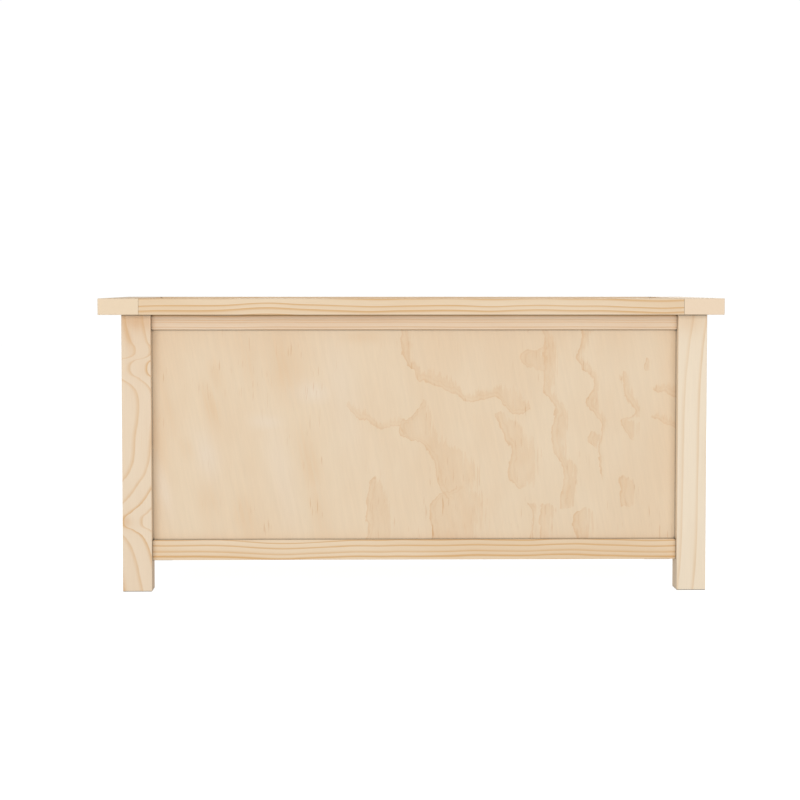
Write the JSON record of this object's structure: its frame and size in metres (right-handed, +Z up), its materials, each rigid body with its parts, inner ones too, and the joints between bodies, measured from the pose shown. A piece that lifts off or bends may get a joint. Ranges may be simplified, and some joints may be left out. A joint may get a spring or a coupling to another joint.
{
  "type": "wooden toy box",
  "caption": "Free-standing pine toy box with plywood panels, a hinged framed lid and folding lid stays.",
  "frame": {"origin": "on the floor under the middle of the bounding box of the closed box", "axes": "+X to the right along the box's length, +Y to the back where the hinges are, +Z up"},
  "size_m": [0.9, 0.4276, 0.4255],
  "materials": {
    "pine": "clear satin lacquer on planed pine",
    "plywood": "clear satin lacquer on rotary-cut plywood",
    "steel": "zinc plated, satin"
  },
  "bodies": {
    "carcass": {"post_front_left": "pine", "post_front_right": "pine", "post_back_left": "pine", "post_back_right": "pine", "front_bottom_rail": "pine", "front_top_rail": "pine", "front_panel": "plywood", "back_bottom_rail": "pine", "back_top_rail": "pine", "back_panel": "plywood", "left_bottom_rail": "pine", "left_top_rail": "pine", "left_panel": "plywood", "right_bottom_rail": "pine", "right_top_rail": "pine", "right_panel": "plywood", "floor_panel": "plywood", "floor_cleat_front": "pine", "floor_cleat_back": "pine", "floor_cleat_left": "pine", "floor_cleat_right": "pine", "hinge_left_box_leaf": "steel", "hinge_left_pin": "steel", "hinge_right_box_leaf": "steel", "hinge_right_pin": "steel", "stay_left_box_bracket": "steel", "stay_left_box_rivet": "steel", "stay_right_box_bracket": "steel", "stay_right_box_rivet": "steel"},
    "lid": {"lid_end_board_left": "pine", "lid_end_board_right": "pine", "lid_front_rail": "pine", "lid_back_rail": "pine", "lid_panel": "plywood", "hinge_left_lid_leaf": "steel", "hinge_right_lid_leaf": "steel", "stay_left_lid_bracket": "steel", "stay_left_lid_rivet": "steel", "stay_right_lid_bracket": "steel", "stay_right_lid_rivet": "steel"},
    "stay_left_lower": {"stay_left_lower_arm": "steel", "stay_left_elbow_rivet": "steel"},
    "stay_left_upper": {"stay_left_upper_arm": "steel"},
    "stay_right_lower": {"stay_right_lower_arm": "steel", "stay_right_elbow_rivet": "steel"},
    "stay_right_upper": {"stay_right_upper_arm": "steel"}
  },
  "joints": [
    {"name": "lid_hinge", "type": "hinge", "parent": "carcass", "child": "lid", "pos_m": [0, 0.21025, 0.40185], "axis": [-1, 0, 0], "range_deg": [0, 95]},
    {"name": "stay_left_lower_pivot", "type": "hinge", "parent": "carcass", "child": "stay_left_lower", "pos_m": [-0.38, 0.06525, 0.3821], "axis": [-1, 0, 0], "range_deg": [0, 95]},
    {"name": "stay_left_upper_pivot", "type": "hinge", "parent": "lid", "child": "stay_left_upper", "pos_m": [-0.38, 0.06525, 0.3951], "axis": [-1, 0, 0], "range_deg": [-95, 0]},
    {"name": "stay_right_lower_pivot", "type": "hinge", "parent": "carcass", "child": "stay_right_lower", "pos_m": [0.39, 0.06525, 0.3821], "axis": [-1, 0, 0], "range_deg": [0, 95]},
    {"name": "stay_right_upper_pivot", "type": "hinge", "parent": "lid", "child": "stay_right_upper", "pos_m": [0.39, 0.06525, 0.3951], "axis": [-1, 0, 0], "range_deg": [-95, 0]}
  ],
  "couplings": [
    {"joint": "stay_left_lower_pivot", "follows": "lid_hinge", "ratio": 1},
    {"joint": "stay_left_upper_pivot", "follows": "lid_hinge", "ratio": -1},
    {"joint": "stay_right_lower_pivot", "follows": "lid_hinge", "ratio": 1},
    {"joint": "stay_right_upper_pivot", "follows": "lid_hinge", "ratio": -1}
  ]
}
